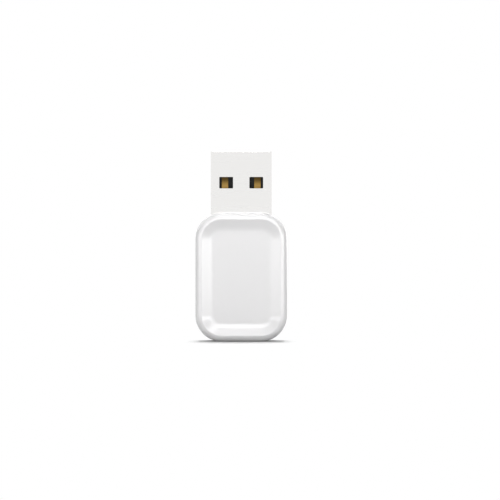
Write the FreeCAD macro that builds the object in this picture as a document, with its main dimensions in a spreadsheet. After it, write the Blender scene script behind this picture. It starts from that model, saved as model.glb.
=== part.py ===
import itertools
import math
import os

import FreeCAD
import Part
import Sketcher

# A USB radio stick for a smart home: a white moulded housing in two halves, with a
# shallow dish pressed into both faces, and a steel plug standing out of its top end.
# A circuit board with the radio, its aerial and the plug's contacts is clamped inside.
# Frame: +Z up through the plug, +X to the right, the front face looks along -Y.
# The origin is in the middle of the flat end that the stick stands on.

# Driving sizes in millimetres: name, value, what it is
SIZES = [
    # Plug, to the common full-size pattern
    ("plug_width", "12.0", "outer width of the steel shell"),
    ("plug_depth", "4.5", "outer depth of the steel shell"),
    ("plug_reach", "12.1", "how far the shell stands out of the housing"),
    ("plug_sheet", "0.3", "thickness of the steel sheet"),
    ("plug_bend", "0.55", "outer bend radius of the folded sheet"),
    ("plug_lead", "0.12", "rounding of the shell's mouth"),
    ("window_width", "2.7", "width of a latch window"),
    ("window_height", "2.25", "height of a latch window"),
    ("window_pitch", "5.92", "centre distance of two latch windows"),
    ("window_setback", "5.05", "from the shell's mouth to a window"),
    ("window_corner", "0.15", "corner radius of a window"),
    ("window_relief", "0.6", "depth of the insulator's recess behind a window"),
    ("seam_gap", "0.07", "open line where the folded sheet meets"),
    ("seam_lock_width", "1.5", "width of the dovetail that locks the seam"),
    ("seam_lock_height", "1.3", "height of the dovetail at its wide end"),
    ("seam_lock_neck", "0.8", "height of the dovetail at its neck"),
    ("seam_lock_drop", "8.3", "from the shell's mouth to the dovetail"),
    ("leg_width", "1.2", "width of a board leg of the shell"),
    ("leg_strap", "1.2", "how far a leg's strap reaches in front of the parting plane"),
    ("leg_shoulder", "2.2", "how far a leg's strap runs down beside the insulator"),
    ("leg_through", "0.45", "how far a leg stands out behind the board"),
    # Insulator and contacts
    ("mouth_depth", "11.7", "from the shell's mouth to the insulator's block"),
    ("block_length", "5.6", "length of the insulator's block in the shell"),
    ("insulator_gap", "0.03", "clearance of the insulator in the shell"),
    ("tongue_setback", "0.4", "from the shell's mouth to the tongue's tip"),
    ("tongue_lead", "0.35", "chamfer on the tongue's tip"),
    ("contact_sheet", "0.25", "thickness of a contact"),
    ("contact_proud", "0.06", "how far a contact stands out of the tongue"),
    ("contact_gap", "0.02", "clearance of a contact in its groove"),
    ("power_width", "1.26", "width of an outer contact"),
    ("power_pitch", "6.4", "centre distance of the outer contacts"),
    ("power_setback", "1.3", "from the shell's mouth to an outer contact"),
    ("data_width", "1.0", "width of an inner contact"),
    ("data_pitch", "2.0", "centre distance of the inner contacts"),
    ("data_setback", "2.3", "from the shell's mouth to an inner contact"),
    ("contact_nose", "0.5", "length of a contact's sloping nose"),
    ("nose_share", "0.75", "part of a contact's thickness that its nose slopes through"),
    ("contact_tail", "1.5", "length of a contact's tail on the board"),
    # Housing
    ("body_width", "18.0", "width of the housing"),
    ("body_height", "25.3", "height of the housing"),
    ("corner_radius", "5.15", "corner radius of the housing seen from the front"),
    ("edge_radius", "1.3", "rounding of the housing's front and rear edges"),
    ("wall", "1.1", "wall thickness of the housing"),
    ("dish_margin", "1.25", "width of the rim around the dish"),
    ("dish_slope", "1.85", "width of the dish's sloping side"),
    ("dish_depth", "0.85", "depth of the dish"),
    ("dish_blend", "2.4", "hollow rounding at the foot of the dish's side"),
    ("rim_blend", "0.3", "rounding of the rim's crest"),
    ("plug_gap", "0.05", "clearance of the shell in the housing"),
    ("reveal", "0.12", "chamfer on both halves at the parting line"),
    ("lip_height", "0.8", "height of the rear half's lip"),
    ("lip_sheet", "0.5", "thickness of the lip"),
    ("lip_gap", "0.05", "clearance around the lip"),
    ("bead_size", "0.18", "how far a snap bead stands out of the lip"),
    ("bead_half", "0.27", "half the height of a snap bead's section"),
    ("bead_length", "4.0", "length of a snap bead"),
    ("bead_level", "16.5", "height of the snap beads above the standing end"),
    # Board and what clamps it
    ("board_sheet", "1.0", "thickness of the circuit board"),
    ("board_gap", "0.3", "clearance between the board's edge and the wall"),
    ("butt_gap", "0.1", "clearance between the board's end and the plug"),
    ("slot_gap", "0.12", "clearance of a board leg in its slot"),
    ("pin_radius", "0.7", "radius of a locating pin"),
    ("pin_gap", "0.08", "clearance of a pin in the board and its socket"),
    ("boss_radius", "1.35", "radius of the bosses that clamp the board"),
    ("boss_beside", "0.5", "from the aerial's end to a boss"),
    ("boss_share", "0.75", "part of the wall that a boss runs into"),
    ("pin_level", "5.2", "height of the pins above the standing end"),
    ("pin_depth", "0.75", "how far a pin reaches past the board"),
    ("pin_lead", "0.2", "chamfer on a pin's end"),
    ("rib_sheet", "0.8", "thickness of a clamp rib"),
    ("rib_length", "3.0", "length of a clamp rib"),
    ("rib_drop", "5.0", "from the board's upper end to a rib"),
    # Parts on the board
    ("chip_height", "0.85", "height of a flat chip package"),
    ("chip_edge", "0.1", "chamfer on a package's top edges"),
    ("radio_side", "4.0", "side of the radio chip"),
    ("bridge_side", "4.0", "side of the USB bridge chip"),
    ("dimple_radius", "0.25", "radius of the mark at a chip's first pin"),
    ("dimple_depth", "0.08", "depth of that mark"),
    ("outline_width", "2.9", "width of a small package with bent leads"),
    ("outline_depth", "1.6", "depth of that package's body"),
    ("outline_height", "1.1", "height of that package"),
    ("outline_lift", "0.1", "gap between that package's body and the board"),
    ("lead_width", "0.4", "width of a bent lead"),
    ("lead_pitch", "0.95", "pitch of the bent leads"),
    ("lead_reach", "0.6", "how far a bent lead reaches from the body"),
    ("lead_sheet", "0.15", "thickness of a bent lead"),
    ("crystal_width", "2.5", "width of the crystal"),
    ("crystal_depth", "2.0", "depth of the crystal"),
    ("crystal_height", "0.3", "height of the crystal's base"),
    ("crystal_lid", "0.25", "height of the crystal's lid"),
    ("crystal_edge", "0.15", "from the base's edge to the lid"),
    ("aerial_length", "7.0", "length of the ceramic aerial"),
    ("aerial_width", "2.0", "width of the ceramic aerial"),
    ("aerial_height", "0.9", "height of the ceramic aerial"),
    ("coil_length", "2.0", "length of the power inductor"),
    ("coil_width", "1.6", "width of the power inductor"),
    ("coil_height", "1.0", "height of the power inductor"),
    ("small_length", "1.0", "length of a small chip capacitor or resistor"),
    ("small_width", "0.5", "width of a small chip capacitor or resistor"),
    ("small_height", "0.5", "height of a small chip capacitor"),
    ("large_length", "1.6", "length of a large chip capacitor"),
    ("large_width", "0.8", "width of a large chip capacitor"),
    ("large_height", "0.8", "height of a large chip capacitor"),
    ("resistor_height", "0.35", "height of a chip resistor"),
    ("cap_share", "0.22", "a terminal's part of a two-ended part's length"),
    ("cap_proud", "0.02", "how far a terminal stands out of such a part"),
    ("part_gap", "0.5", "distance between neighbours on the board"),
    ("close_gap", "0.15", "least distance between neighbours where the rows are close"),
]

# Lengths that follow from the driving sizes, written as expressions.
# Depths are measured from the parting plane of the housing, which is the frame's XZ plane.
HALF_DEPTH = "(Sizes.plug_depth / 2 + Sizes.plug_gap + Sizes.wall + Sizes.dish_depth)"
CEILING = "(Sizes.plug_depth / 2 + Sizes.plug_gap)"
FLOOR_INSET = "(Sizes.dish_margin + Sizes.dish_slope)"
TIP = "(Sizes.body_height + Sizes.plug_reach)"
BLOCK_TOP = f"({TIP} - Sizes.mouth_depth)"
SHELL_FOOT = f"({BLOCK_TOP} - Sizes.block_length)"
SMALLEST_CORNER = "0.3"
SMALLEST_BEND = "0.1"

# The lip of the rear half in the rebate of the front half
LIP_INSET = "(Sizes.wall - Sizes.lip_sheet)"
REBATE_INSET = f"({LIP_INSET} - Sizes.lip_gap)"

# The board: the contacts' tails lie on its front face
BOARD_FRONT = "Sizes.contact_sheet"
BOARD_BACK = "(Sizes.contact_sheet + Sizes.board_sheet)"
BOARD_INSET = "(Sizes.wall + Sizes.board_gap)"
BOARD_HALF = f"(Sizes.body_width / 2 - {BOARD_INSET})"
BOARD_TOP = f"({SHELL_FOOT} - Sizes.butt_gap)"
TAIL_END = f"({SHELL_FOOT} - Sizes.contact_tail)"
LEG_LEVEL = f"({SHELL_FOOT} - Sizes.leg_shoulder / 2)"
PIN_ACROSS = "(Sizes.aerial_length / 2 + Sizes.boss_beside + Sizes.boss_radius)"
RIB_ACROSS = "(Sizes.body_width / 2 - Sizes.dish_margin - Sizes.dish_slope / 2)"
BOSS_ROOT = "Sizes.boss_share * Sizes.wall"

# Rows of parts on the board, from its lower end to the contacts, evenly spread
ROW_GAP = (
    f"(({TAIL_END} - {BOARD_INSET} - Sizes.aerial_width - Sizes.radio_side"
    " - Sizes.bridge_side - 2 * Sizes.small_length) / 6)"
)
AERIAL_ROW = f"({BOARD_INSET} + {ROW_GAP} + Sizes.aerial_width / 2)"
TUNING_ROW = f"({AERIAL_ROW} + Sizes.aerial_width / 2 + {ROW_GAP} + Sizes.small_length / 2)"
RADIO_ROW = f"({TUNING_ROW} + Sizes.small_length / 2 + {ROW_GAP} + Sizes.radio_side / 2)"
BRIDGE_ROW = f"({RADIO_ROW} + Sizes.radio_side / 2 + {ROW_GAP} + Sizes.bridge_side / 2)"
DATA_ROW = f"({BRIDGE_ROW} + Sizes.bridge_side / 2 + {ROW_GAP} + Sizes.small_length / 2)"
OUTLINE_ROW = f"({TAIL_END} - Sizes.part_gap - Sizes.lead_reach - Sizes.outline_depth / 2)"

doc = FreeCAD.newDocument("usb_radio_stick")
sizes = doc.addObject("Spreadsheet::Sheet", "Sizes")
for row, (alias, value, meaning) in enumerate(SIZES, start=1):
    sizes.set(f"A{row}", alias)
    sizes.set(f"B{row}", value)
    sizes.set(f"C{row}", meaning)
    sizes.setAlias(f"B{row}", alias)
doc.recompute()

nodes = []


def number(expression):
    """The present value of an expression."""
    return float(sizes.evalExpression(str(expression)))


def new_body(label):
    """A body whose label names its file."""
    body = doc.addObject("PartDesign::Body", label)
    body.Label = label
    nodes.append(body)
    return body


def new_sketch(body, name, plane, offset="0"):
    """A sketch on one of the body's origin planes, moved along that plane's normal."""
    sketch = body.newObject("Sketcher::SketchObject", name)
    origin_plane = next(f for f in body.Origin.OriginFeatures if f.Role == plane)
    sketch.AttachmentSupport = [(origin_plane, "")]
    sketch.MapMode = "FlatFace"
    sketch.setExpression("AttachmentOffset.Base.z", offset)
    return sketch


def point(x, y):
    """A point in a sketch's own plane."""
    return FreeCAD.Vector(x, y, 0)


def sized(kind, name, expression, *where):
    """A named constraint, and the expression that its value follows."""
    constraint = Sketcher.Constraint(kind, *where, number(expression))
    constraint.Name = name
    return constraint, expression


def draw(sketch, geometry, ties, sizes_of):
    """Adds geometry to a sketch with its plain ties, and binds its named sizes."""
    sketch.addGeometry(geometry)
    sketch.addConstraint(ties + [constraint for constraint, _ in sizes_of])
    for constraint, expression in sizes_of:
        sketch.setExpression(f"Constraints.{constraint.Name}", expression)


def draw_rounded(sketch, tag, left, right, low, high, radius):
    """A rounded rectangle, its four sides and its corner radius bound to expressions."""
    x0, x1, y0, y1, r = (number(e) for e in (left, right, low, high, radius))
    first = sketch.GeometryCount
    sides = [
        (point(x0 + r, y0), point(x1 - r, y0)),
        (point(x1, y0 + r), point(x1, y1 - r)),
        (point(x1 - r, y1), point(x0 + r, y1)),
        (point(x0, y1 - r), point(x0, y0 + r)),
    ]
    centres = [
        point(x1 - r, y0 + r),
        point(x1 - r, y1 - r),
        point(x0 + r, y1 - r),
        point(x0 + r, y0 + r),
    ]
    geometry = []
    ties = []
    for turn, (side, centre) in enumerate(zip(sides, centres)):
        start = (turn - 1) * math.pi / 2
        circle = Part.Circle(centre, FreeCAD.Vector(0, 0, 1), r)
        geometry.append(Part.LineSegment(*side))
        geometry.append(Part.ArcOfCircle(circle, start, start + math.pi / 2))
        line = first + 2 * turn
        arc = line + 1
        after = first + (2 * turn + 2) % 8
        ties.append(Sketcher.Constraint("Tangent", line, 2, arc, 1))
        ties.append(Sketcher.Constraint("Tangent", arc, 2, after, 1))
        ties.append(Sketcher.Constraint("Horizontal" if turn % 2 == 0 else "Vertical", line))
        if turn:
            ties.append(Sketcher.Constraint("Equal", first + 1, arc))
    sizes_of = [
        sized("Radius", f"{tag}_radius", radius, first + 1),
        sized("DistanceY", f"{tag}_low", low, -1, 1, first, 1),
        sized("DistanceX", f"{tag}_right", right, -1, 1, first + 2, 1),
        sized("DistanceY", f"{tag}_high", high, -1, 1, first + 4, 1),
        sized("DistanceX", f"{tag}_left", left, -1, 1, first + 6, 1),
    ]
    draw(sketch, geometry, ties, sizes_of)


def draw_polygon(sketch, tag, corners):
    """A closed polygon; each corner is a pair of expressions."""
    first = sketch.GeometryCount
    spots = [point(number(x), number(y)) for x, y in corners]
    count = len(spots)
    geometry = [Part.LineSegment(spots[k], spots[(k + 1) % count]) for k in range(count)]
    ties = [
        Sketcher.Constraint("Coincident", first + k, 2, first + (k + 1) % count, 1)
        for k in range(count)
    ]
    sizes_of = []
    for k, (x, y) in enumerate(corners):
        sizes_of.append(sized("DistanceX", f"{tag}_x{k}", x, -1, 1, first + k, 1))
        sizes_of.append(sized("DistanceY", f"{tag}_y{k}", y, -1, 1, first + k, 1))
    draw(sketch, geometry, ties, sizes_of)


def draw_rectangle(sketch, tag, left, right, low, high):
    """A plain rectangle whose four sides are bound to expressions."""
    first = sketch.GeometryCount
    x0, x1, y0, y1 = (number(e) for e in (left, right, low, high))
    spots = [point(x0, y0), point(x1, y0), point(x1, y1), point(x0, y1)]
    geometry = [Part.LineSegment(spots[k], spots[(k + 1) % 4]) for k in range(4)]
    ties = [
        Sketcher.Constraint("Coincident", first + k, 2, first + (k + 1) % 4, 1) for k in range(4)
    ]
    ties += [
        Sketcher.Constraint("Horizontal" if k % 2 == 0 else "Vertical", first + k) for k in range(4)
    ]
    sizes_of = [
        sized("DistanceX", f"{tag}_left", left, -1, 1, first, 1),
        sized("DistanceY", f"{tag}_low", low, -1, 1, first, 1),
        sized("DistanceX", f"{tag}_right", right, -1, 1, first + 2, 1),
        sized("DistanceY", f"{tag}_high", high, -1, 1, first + 2, 1),
    ]
    draw(sketch, geometry, ties, sizes_of)


def draw_circle(sketch, tag, x, y, radius):
    """A circle whose centre and radius are bound to expressions."""
    centre = point(number(x), number(y))
    circle = Part.Circle(centre, FreeCAD.Vector(0, 0, 1), number(radius))
    index = sketch.GeometryCount
    sizes_of = [
        sized("Radius", f"{tag}_radius", radius, index),
        sized("DistanceX", f"{tag}_x", x, -1, 1, index, 3),
        sized("DistanceY", f"{tag}_y", y, -1, 1, index, 3),
    ]
    draw(sketch, [circle], [], sizes_of)


def pad(body, name, sketch, length, towards=1):
    """Adds material from the sketch, along its normal or against it."""
    feature = body.newObject("PartDesign::Pad", name)
    feature.Profile = sketch
    feature.setExpression("Length", length)
    feature.Reversed = towards < 0
    doc.recompute()
    return feature


def pocket(body, name, sketch, length, towards=1):
    """Removes material from the sketch, along its normal or against it."""
    before = body.Shape.Volume
    feature = body.newObject("PartDesign::Pocket", name)
    feature.Profile = sketch
    feature.setExpression("Length", length)
    feature.Reversed = towards > 0
    doc.recompute()
    if body.Shape.Volume >= before:
        raise RuntimeError(f"{body.Label}: {name} cuts nothing")
    return feature


def loft(body, name, kind, first, second):
    """A straight-sided loft between two sketches, added or cut away."""
    feature = body.newObject(f"PartDesign::{kind}Loft", name)
    feature.Profile = first
    feature.Sections = [second]
    feature.Ruled = True
    doc.recompute()
    return feature


def edges_where(shape, test):
    """The names of the edges for which test is true at both ends and in the middle."""
    found = []
    for index, edge in enumerate(shape.Edges, start=1):
        low, high = edge.ParameterRange
        spots = [edge.valueAt(low), edge.valueAt((low + high) / 2), edge.valueAt(high)]
        if all(test(spot) for spot in spots):
            found.append(f"Edge{index}")
    return found


def dress(body, name, kind, size, base, test):
    """Rounds or chamfers the edges of a feature that pass the test."""
    chosen = edges_where(base.Shape, test)
    if not chosen:
        raise RuntimeError(f"{body.Label}: {name} finds no edge")
    feature = body.newObject(f"PartDesign::{kind}", name)
    feature.Base = (base, chosen)
    feature.setExpression("Radius" if kind == "Fillet" else "Size", size)
    doc.recompute()
    return feature


def near(a, b, tolerance=0.005):
    """True where two lengths are the same to within a tolerance."""
    return abs(a - b) < tolerance


# Housing halves


def draw_outline(sketch, tag, inset):
    """The housing's outline seen from the front, drawn in by an inset on every side."""
    side = f"Sizes.body_width / 2 - {inset}"
    draw_rounded(
        sketch,
        tag,
        f"-({side})",
        side,
        inset,
        f"Sizes.body_height - {inset}",
        f"max(Sizes.corner_radius - {inset}; {SMALLEST_CORNER})",
    )


def outline_sketch(body, name, level, inset):
    """The inset outline at a level along -Y."""
    sketch = new_sketch(body, name, "XZ_Plane", level)
    draw_outline(sketch, "outline", inset)
    return sketch


def moulded_shell(body, side):
    """The shell that both halves share: side 1 is the front, towards -Y, and -1 the rear."""
    sign = "" if side > 0 else "-"

    def at(level):
        return f"{sign}({level})"

    face = number(HALF_DEPTH) * -side
    blank = pad(body, "Blank", outline_sketch(body, "Outline", "0", "0"), HALF_DEPTH, side)
    reveal = dress(body, "Reveal", "Chamfer", "Sizes.reveal", blank, lambda p: near(p.y, 0))
    rounded = dress(body, "OuterEdge", "Fillet", "Sizes.edge_radius", reveal, lambda p: near(p.y, face))
    # The inside is cut to one wall thickness, then filled again under the dish
    hollow = outline_sketch(body, "Hollow", "0", "Sizes.wall")
    pocket(body, "Cavity", hollow, f"{HALF_DEPTH} - Sizes.wall", side)
    loft(
        body,
        "DishUnderside",
        "Additive",
        outline_sketch(body, "UndersideWide", at(f"{HALF_DEPTH} - Sizes.wall"), "Sizes.dish_margin"),
        outline_sketch(body, "UndersideNarrow", at(CEILING), FLOOR_INSET),
    )
    dish = loft(
        body,
        "Dish",
        "Subtractive",
        outline_sketch(body, "DishRim", at(HALF_DEPTH), "Sizes.dish_margin"),
        outline_sketch(body, "DishFloor", at(f"{HALF_DEPTH} - Sizes.dish_depth"), FLOOR_INSET),
    )
    floor = (number(HALF_DEPTH) - number("Sizes.dish_depth")) * -side
    blend = dress(body, "DishBlend", "Fillet", "Sizes.dish_blend", dish, lambda p: near(p.y, floor))
    crest = rim_crest(blend.Shape, side)
    dress(body, "RimBlend", "Fillet", "Sizes.rim_blend", blend, crest)
    return body


def rim_crest(shape, side):
    """A test for the ridge where the outer rounding meets the dish's side."""
    margin = number("Sizes.dish_margin")
    outer = number("Sizes.edge_radius")
    step = max(outer - margin, 0)
    level = number(HALF_DEPTH) - outer + math.sqrt(outer * outer - step * step)
    half = number("Sizes.body_width") / 2

    def test(p):
        return near(-p.y * side, level, 0.12) and abs(p.x) < half - margin + 0.2

    return test


def plug_opening(body):
    """The opening in the top wall that the plug's shell stands through."""
    sketch = new_sketch(body, "OpeningOutline", "XY_Plane", SHELL_FOOT)
    width = "(Sizes.plug_width / 2 + Sizes.plug_gap)"
    bend = "Sizes.plug_bend + Sizes.plug_gap"
    draw_rounded(sketch, "opening", f"-{width}", width, f"-{CEILING}", CEILING, bend)
    pocket(body, "PlugOpening", sketch, f"Sizes.body_height - {SHELL_FOOT} + Sizes.wall", 1)


def ribs(body, side):
    """Two ribs that hold the board from one side, near its long edges."""
    face = BOARD_FRONT if side > 0 else BOARD_BACK
    sketch = new_sketch(body, "RibOutline", "XZ_Plane", f"-{face}")
    high = f"({BOARD_TOP} - Sizes.rib_drop)"
    for tag, sign in (("left", -1), ("right", 1)):
        inner = f"{sign} * ({RIB_ACROSS} - Sizes.rib_sheet / 2)"
        outer = f"{sign} * ({RIB_ACROSS} + Sizes.rib_sheet / 2)"
        ends = (outer, inner) if sign < 0 else (inner, outer)
        draw_rectangle(sketch, tag, *ends, f"{high} - Sizes.rib_length", high)
    # A rib runs into the middle of the dish's sloping side
    root = f"{CEILING} + Sizes.dish_depth / 2 + Sizes.wall / 2"
    reach = f"{root} + {face}" if side > 0 else f"{root} - {face}"
    pad(body, "Ribs", sketch, reach, side)


def pin_circles(body, name, level, radius):
    """A sketch of one circle round each locating pin."""
    sketch = new_sketch(body, name, "XZ_Plane", level)
    draw_circle(sketch, "left", f"-{PIN_ACROSS}", "Sizes.pin_level", radius)
    draw_circle(sketch, "right", PIN_ACROSS, "Sizes.pin_level", radius)
    return sketch


def snap_profile(sketch, tag, sign, base, face, peak, half):
    """The section of a snap bead, or of its groove, across the side wall."""
    middle = "-(Sizes.lip_height / 2)"
    corners = [
        (base, f"{middle} - {half}"),
        (face, f"{middle} - {half}"),
        (peak, middle),
        (face, f"{middle} + {half}"),
        (base, f"{middle} + {half}"),
    ]
    draw_polygon(sketch, tag, [(f"{sign} * {x}", y) for x, y in corners])


LIP_FACE = f"(Sizes.body_width / 2 - {LIP_INSET})"
REBATE_FACE = f"(Sizes.body_width / 2 - {REBATE_INSET})"

front = new_body("front_housing")
moulded_shell(front, 1)
rebate = outline_sketch(front, "RebateOutline", "0", REBATE_INSET)
pocket(front, "Rebate", rebate, "Sizes.lip_height + Sizes.lip_gap", 1)
plug_opening(front)
boss = pin_circles(front, "BossOutline", f"-{BOARD_FRONT}", "Sizes.boss_radius")
pad(front, "Bosses", boss, f"{BOARD_FRONT} + {CEILING} + {BOSS_ROOT}", 1)
pin = pin_circles(front, "PinOutline", f"-{BOARD_FRONT}", "Sizes.pin_radius")
pins = pad(front, "Pins", pin, "Sizes.board_sheet + Sizes.pin_depth", -1)
pin_end = number(f"{BOARD_BACK} + Sizes.pin_depth")
dress(front, "PinLead", "Chamfer", "Sizes.pin_lead", pins, lambda p: near(p.y, pin_end))
ribs(front, 1)
groove = new_sketch(
    front,
    "GrooveSection",
    "XY_Plane",
    "Sizes.bead_level - Sizes.bead_length / 2 - Sizes.lip_gap",
)
for tag, sign in (("left", -1), ("right", 1)):
    peak = f"({REBATE_FACE} + Sizes.bead_size)"
    half = "(Sizes.bead_half + Sizes.lip_gap)"
    snap_profile(groove, tag, sign, LIP_FACE, REBATE_FACE, peak, half)
pocket(front, "SnapGrooves", groove, "Sizes.bead_length + 2 * Sizes.lip_gap", 1)

rear = new_body("rear_housing")
moulded_shell(rear, -1)
lip = new_sketch(rear, "LipOutline", "XZ_Plane", "0")
draw_outline(lip, "outside", LIP_INSET)
draw_outline(lip, "inside", "Sizes.wall")
pad(rear, "Lip", lip, "Sizes.lip_height", 1)
bead = new_sketch(rear, "BeadSection", "XY_Plane", "Sizes.bead_level - Sizes.bead_length / 2")
for tag, sign in (("left", -1), ("right", 1)):
    base = f"({LIP_FACE} - Sizes.lip_sheet / 2)"
    peak = f"({LIP_FACE} + Sizes.bead_size)"
    snap_profile(bead, tag, sign, base, LIP_FACE, peak, "Sizes.bead_half")
pad(rear, "SnapBeads", bead, "Sizes.bead_length", 1)
plug_opening(rear)
boss = pin_circles(rear, "BossOutline", f"-{BOARD_BACK}", "Sizes.boss_radius")
pad(rear, "Bosses", boss, f"{CEILING} - {BOARD_BACK} + {BOSS_ROOT}", -1)
bore = pin_circles(rear, "BoreOutline", f"-{BOARD_BACK}", "Sizes.pin_radius + Sizes.pin_gap")
pocket(rear, "PinBores", bore, "Sizes.pin_depth + Sizes.pin_gap", -1)
ribs(rear, -1)

# The plug's steel shell, folded from one sheet with its seam at the back


def windows(sketch, low_gap):
    """The outlines of the two latch windows, each widened by a gap on every side."""
    high = f"({TIP} - Sizes.window_setback + {low_gap})"
    low = f"({TIP} - Sizes.window_setback - Sizes.window_height - {low_gap})"
    half = f"(Sizes.window_width / 2 + {low_gap})"
    for tag, sign in (("left", "-"), ("right", "")):
        middle = f"{sign}Sizes.window_pitch / 2"
        corner = "Sizes.window_corner"
        draw_rounded(sketch, tag, f"{middle} - {half}", f"{middle} + {half}", low, high, corner)


def seam_outline():
    """The open line of the seam: up one side of the dovetail and down the other."""
    middle = f"({TIP} - Sizes.seam_lock_drop)"
    neck = "Sizes.seam_lock_neck / 2"
    wide = "Sizes.seam_lock_height / 2"
    gap = "Sizes.seam_gap / 2"
    corners = []
    for sign, order in ((1, 1), (-1, -1)):
        grow = "+" if sign > 0 else "-"
        shrink = "-" if sign > 0 else "+"
        path = [
            (f"{shrink}({gap})", f"{SHELL_FOOT} - Sizes.plug_sheet"),
            (f"{shrink}({gap})", f"{middle} - {neck} {shrink} {gap}"),
            (f"-Sizes.seam_lock_width {shrink} {gap}", f"{middle} - {wide} {shrink} {gap}"),
            (f"-Sizes.seam_lock_width {shrink} {gap}", f"{middle} + {wide} {grow} {gap}"),
            (f"{shrink}({gap})", f"{middle} + {neck} {grow} {gap}"),
            (f"{shrink}({gap})", f"{TIP} + Sizes.plug_sheet"),
        ]
        corners += path[::order]
    return corners


shell = new_body("plug_shell")
half_width = "(Sizes.plug_width / 2)"
half_depth = "(Sizes.plug_depth / 2)"
inner_width = "(Sizes.plug_width / 2 - Sizes.plug_sheet)"
inner_depth = "(Sizes.plug_depth / 2 - Sizes.plug_sheet)"
inner_bend = "(Sizes.plug_bend - Sizes.plug_sheet)"
section = new_sketch(shell, "TubeSection", "XY_Plane", SHELL_FOOT)
draw_rounded(
    section, "outer", f"-{half_width}", half_width, f"-{half_depth}", half_depth, "Sizes.plug_bend"
)
draw_rounded(
    section, "inner", f"-{inner_width}", inner_width, f"-{inner_depth}", inner_depth, inner_bend
)
tube = pad(shell, "Tube", section, f"{TIP} - {SHELL_FOOT}", 1)


def on_outer_mouth(p):
    """True on the outer edge of the shell's mouth."""
    bend = number("Sizes.plug_bend")
    across = max(abs(p.x) - number(half_width) + bend, 0)
    deep = max(abs(p.y) - number(half_depth) + bend, 0)
    return near(p.z, number(TIP)) and near(math.hypot(across, deep), bend)


dress(shell, "MouthLead", "Fillet", "Sizes.plug_lead", tube, on_outer_mouth)
window = new_sketch(shell, "WindowOutline", "XZ_Plane", f"-{half_depth} - Sizes.plug_sheet")
windows(window, "0")
pocket(shell, "Windows", window, "Sizes.plug_depth + 2 * Sizes.plug_sheet", 1)
seam = new_sketch(shell, "SeamOutline", "XZ_Plane", f"-({inner_depth} - Sizes.plug_sheet / 2)")
draw_polygon(seam, "seam", seam_outline())
pocket(shell, "Seam", seam, "2 * Sizes.plug_sheet", -1)
for tag, offset in (("Left", f"-{half_width}"), ("Right", inner_width)):
    leg = new_sketch(shell, f"{tag}LegOutline", "YZ_Plane", offset)
    foot = f"{SHELL_FOOT} - Sizes.leg_shoulder"
    low = f"{LEG_LEVEL} - Sizes.leg_width / 2"
    high = f"{LEG_LEVEL} + Sizes.leg_width / 2"
    through = f"{BOARD_BACK} + Sizes.leg_through"
    strap = "-Sizes.leg_strap"
    overlap = f"{SHELL_FOOT} + Sizes.plug_sheet"
    draw_polygon(
        leg,
        "leg",
        [
            (strap, foot),
            (BOARD_FRONT, foot),
            (BOARD_FRONT, low),
            (through, low),
            (through, high),
            (BOARD_FRONT, high),
            (BOARD_FRONT, overlap),
            (strap, overlap),
        ],
    )
    pad(shell, f"{tag}Leg", leg, "Sizes.plug_sheet", 1)

# The plug's insulator: a block that fills the shell and a tongue that carries the contacts

POWER = [("power_contact", "-"), ("ground_contact", "")]
DATA = [("data_minus_contact", "-"), ("data_plus_contact", "")]

insulator = new_body("plug_insulator")
fill_width = f"({inner_width} - Sizes.insulator_gap)"
fill_depth = f"({inner_depth} - Sizes.insulator_gap)"
fill_bend = f"max({inner_bend} - Sizes.insulator_gap; {SMALLEST_BEND})"
block = new_sketch(insulator, "BlockSection", "XY_Plane", SHELL_FOOT)
draw_rounded(block, "block", f"-{fill_width}", fill_width, f"-{fill_depth}", fill_depth, fill_bend)
pad(insulator, "Block", block, f"{TIP} - Sizes.tongue_setback - {SHELL_FOOT}", 1)
mouth = new_sketch(insulator, "MouthOutline", "XZ_Plane", "-Sizes.contact_proud")
draw_rectangle(mouth, "mouth", f"-{half_width}", half_width, BLOCK_TOP, TIP)
tongue = pocket(insulator, "Mouth", mouth, "Sizes.plug_depth", 1)
tongue_end = number(f"{TIP} - Sizes.tongue_setback")
tongue_face = number("Sizes.contact_proud")
dress(
    insulator,
    "TongueLead",
    "Chamfer",
    "Sizes.tongue_lead",
    tongue,
    lambda p: near(p.z, tongue_end) and near(p.y, tongue_face),
)
relief = new_sketch(insulator, "ReliefOutline", "XZ_Plane", f"-{half_depth}")
windows(relief, "Sizes.plug_sheet / 2")
pocket(insulator, "WindowReliefs", relief, "Sizes.plug_sheet + Sizes.window_relief", 1)
for name, pair, pitch, width, setback in (
    ("Power", POWER, "Sizes.power_pitch", "Sizes.power_width", "Sizes.power_setback"),
    ("Data", DATA, "Sizes.data_pitch", "Sizes.data_width", "Sizes.data_setback"),
):
    slots = new_sketch(insulator, f"{name}SlotSection", "XY_Plane", SHELL_FOOT)
    for label, sign in pair:
        left = f"{sign}{pitch} / 2 - {width} / 2 - Sizes.contact_gap"
        right = f"{sign}{pitch} / 2 + {width} / 2 + Sizes.contact_gap"
        back = "Sizes.contact_sheet + Sizes.contact_gap"
        draw_rectangle(slots, label, left, right, "-Sizes.contact_gap", back)
    length = f"{TIP} - {setback} + Sizes.contact_gap - {SHELL_FOOT}"
    pocket(insulator, f"{name}Slots", slots, length, 1)

# The contacts: four gold-plated strips, each with a sloping nose at its tip
for pair, pitch, width, setback in (
    (POWER, "Sizes.power_pitch", "Sizes.power_width", "Sizes.power_setback"),
    (DATA, "Sizes.data_pitch", "Sizes.data_width", "Sizes.data_setback"),
):
    for label, sign in pair:
        contact = new_body(label)
        side_view = new_sketch(contact, "SideView", "YZ_Plane", f"{sign}{pitch} / 2 - {width} / 2")
        nose = f"{TIP} - {setback}"
        draw_polygon(
            side_view,
            "strip",
            [
                ("0", TAIL_END),
                ("Sizes.contact_sheet", TAIL_END),
                ("Sizes.contact_sheet", nose),
                ("Sizes.nose_share * Sizes.contact_sheet", nose),
                ("0", f"{nose} - Sizes.contact_nose"),
            ],
        )
        pad(contact, "Strip", side_view, width, 1)

# The circuit board, with a hole for each pin and a slot for each leg of the shell

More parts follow.
